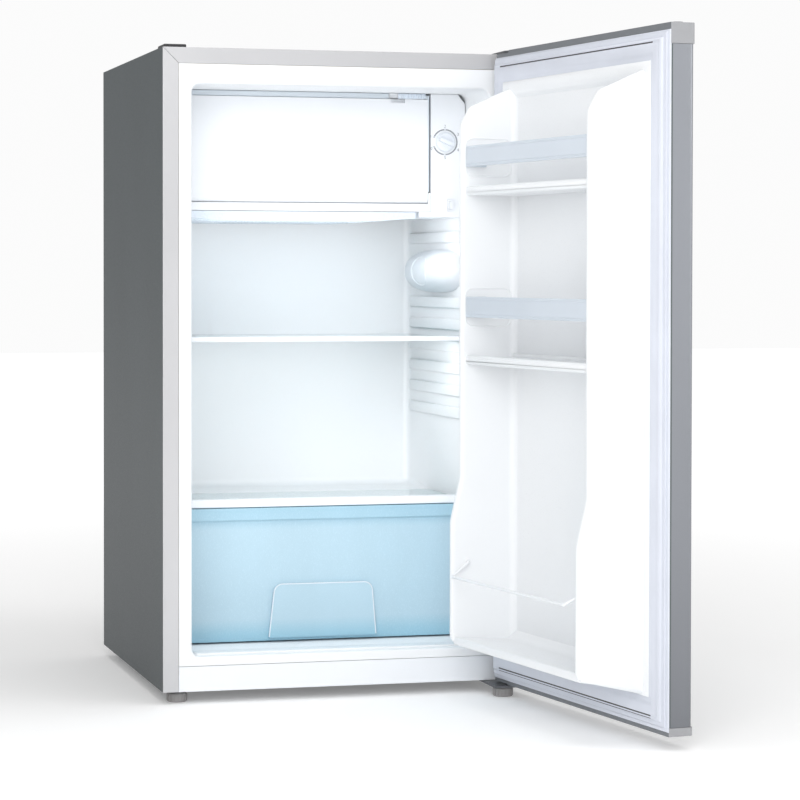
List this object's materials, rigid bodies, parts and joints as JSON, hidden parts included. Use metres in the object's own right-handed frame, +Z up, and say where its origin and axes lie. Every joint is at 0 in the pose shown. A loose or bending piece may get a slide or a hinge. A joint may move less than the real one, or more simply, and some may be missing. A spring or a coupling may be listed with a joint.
{
  "type": "mini fridge",
  "caption": "Table-top refrigerator with a hinged door, freezer compartment, sliding glass shelves, vegetable drawer and door shelves, shown open.",
  "frame": {"origin": "on the floor, directly under the middle of the cabinet (not counting the open door)", "axes": "+X to the right seen from the front, +Y towards the back, +Z up"},
  "size_m": [0.537, 0.9645, 0.848],
  "materials": {
    "side_paint": "dark grey fine-textured paint",
    "trim_paint": "light grey satin paint",
    "galvanised": "zinc-coated sheet",
    "black_paint": "black semi-gloss paint",
    "liner_white": "white thermoformed plastic",
    "white_plastic": "white moulded plastic",
    "foam": "rigid foam",
    "aluminium": "roll-bonded sheet",
    "copper": "copper tube",
    "clear_frost": "frosted clear cover",
    "bulb_glass": "clear bulb",
    "shelf_glass": "toughened glass with a green tint",
    "drawer_blue": "translucent blue plastic",
    "tray_blue": "pale blue translucent plastic",
    "bar_plastic": "pale grey-blue plastic",
    "door_steel": "silver-grey paint",
    "cap_plastic": "grey moulded plastic",
    "gasket": "white soft seal",
    "magnet": "bonded magnet strip",
    "hinge_steel": "grey plated steel",
    "foot_plastic": "grey-brown plastic",
    "black_plastic": "black plastic",
    "rubber": "black rubber",
    "wire_white": "white-coated wire",
    "screw_zinc": "zinc-plated",
    "knob_plastic": "white moulded plastic"
  },
  "bodies": {
    "cabinet": {"front_trim_left": "trim_paint", "front_trim_right": "trim_paint", "front_trim_top": "trim_paint", "side_panel_left": "side_paint", "side_panel_right": "side_paint", "top_panel": "side_paint", "rear_panel": "galvanised", "machine_deck": "galvanised", "kick_panel": "white_plastic", "front_base_rail": "galvanised", "compressor_plate": "galvanised", "inner_liner": "liner_white", "cabinet_insulation": "foam", "evaporator": "aluminium", "freezer_frame": "white_plastic", "freezer_catch": "white_plastic", "thermostat_housing": "white_plastic", "thermostat": "black_plastic", "door_switch_case": "white_plastic", "lamp_cover": "clear_frost", "lamp_holder": "white_plastic", "lamp_bulb": "bulb_glass", "top_hinge": "hinge_steel", "bottom_hinge": "hinge_steel", "hinge_hole_cover": "black_plastic", "hinge_screws": "screw_zinc", "rear_panel_screws": "screw_zinc", "rear_feet": "foot_plastic", "compressor": "black_paint", "compressor_mounts": "rubber", "starter_relay_box": "black_plastic", "evaporation_pan": "black_plastic", "condenser": "black_paint", "discharge_line": "copper", "suction_line": "copper", "filter_drier": "copper", "cord_gland": "black_plastic"},
    "door": {"door_panel": "door_steel", "door_top_cap": "cap_plastic", "door_bottom_cap": "cap_plastic", "hinge_bushes": "black_plastic", "hinge_hole_plug": "cap_plastic", "door_lining": "liner_white", "door_insulation": "foam", "door_gasket": "gasket", "gasket_magnets": "magnet", "upper_door_bar": "bar_plastic", "middle_door_bar": "bar_plastic"},
    "bottle_retainer": {"bottle_retainer": "wire_white"},
    "freezer_flap": {"freezer_flap": "white_plastic"},
    "drip_tray": {"drip_tray": "tray_blue"},
    "upper_shelf": {"upper_shelf_glass": "shelf_glass", "upper_shelf_trim": "white_plastic"},
    "lower_shelf": {"lower_shelf_glass": "shelf_glass", "lower_shelf_trim": "white_plastic"},
    "crisper_drawer": {"crisper_drawer": "drawer_blue"},
    "thermostat_knob": {"thermostat_knob": "knob_plastic"},
    "door_switch_button": {"door_switch_button": "white_plastic"},
    "left_front_foot": {"left_front_foot": "foot_plastic"},
    "right_front_foot": {"right_front_foot": "foot_plastic"}
  },
  "joints": [
    {"name": "door_hinge", "type": "hinge", "parent": "cabinet", "child": "door", "pos_m": [0.223, -0.2626, 0.4], "axis": [0, 0, 1], "range_deg": [-97.6, 37.4]},
    {"name": "freezer_flap_hinge", "type": "hinge", "parent": "cabinet", "child": "freezer_flap", "pos_m": [-0.02375, -0.125, 0.6546], "axis": [1, 0, 0], "range_deg": [0, 90]},
    {"name": "crisper_drawer_slide", "type": "slide", "parent": "cabinet", "child": "crisper_drawer", "axis": [0, -1, 0], "range_m": [0, 0.165]},
    {"name": "upper_shelf_slide", "type": "slide", "parent": "cabinet", "child": "upper_shelf", "axis": [0, -1, 0], "range_m": [0, 0.12]},
    {"name": "lower_shelf_slide", "type": "slide", "parent": "cabinet", "child": "lower_shelf", "axis": [0, -1, 0], "range_m": [0, 0.06]},
    {"name": "drip_tray_slide", "type": "slide", "parent": "cabinet", "child": "drip_tray", "axis": [0, -1, 0], "range_m": [0, 0.15]},
    {"name": "thermostat_knob_turn", "type": "hinge", "parent": "cabinet", "child": "thermostat_knob", "pos_m": [0.1695, -0.131, 0.732], "axis": [0, -1, 0], "range_deg": [-60, 210]},
    {"name": "door_switch_press", "type": "slide", "parent": "cabinet", "child": "door_switch_button", "axis": [0, 1, 0], "range_m": [0, 0.006], "stiffness_N_per_m": 100},
    {"name": "bottle_retainer_swing", "type": "hinge", "parent": "door", "child": "bottle_retainer", "pos_m": [0.16764, -0.49496, 0.183], "axis": [-0.1323, 0.9912, 0], "range_deg": [0, 90]},
    {"name": "left_foot_turn", "type": "hinge", "parent": "cabinet", "child": "left_front_foot", "pos_m": [-0.214, -0.209, 0.006], "axis": [0, 0, 1], "continuous": true},
    {"name": "right_foot_turn", "type": "hinge", "parent": "cabinet", "child": "right_front_foot", "pos_m": [0.208, -0.274, 0.006], "axis": [0, 0, 1], "continuous": true}
  ]
}
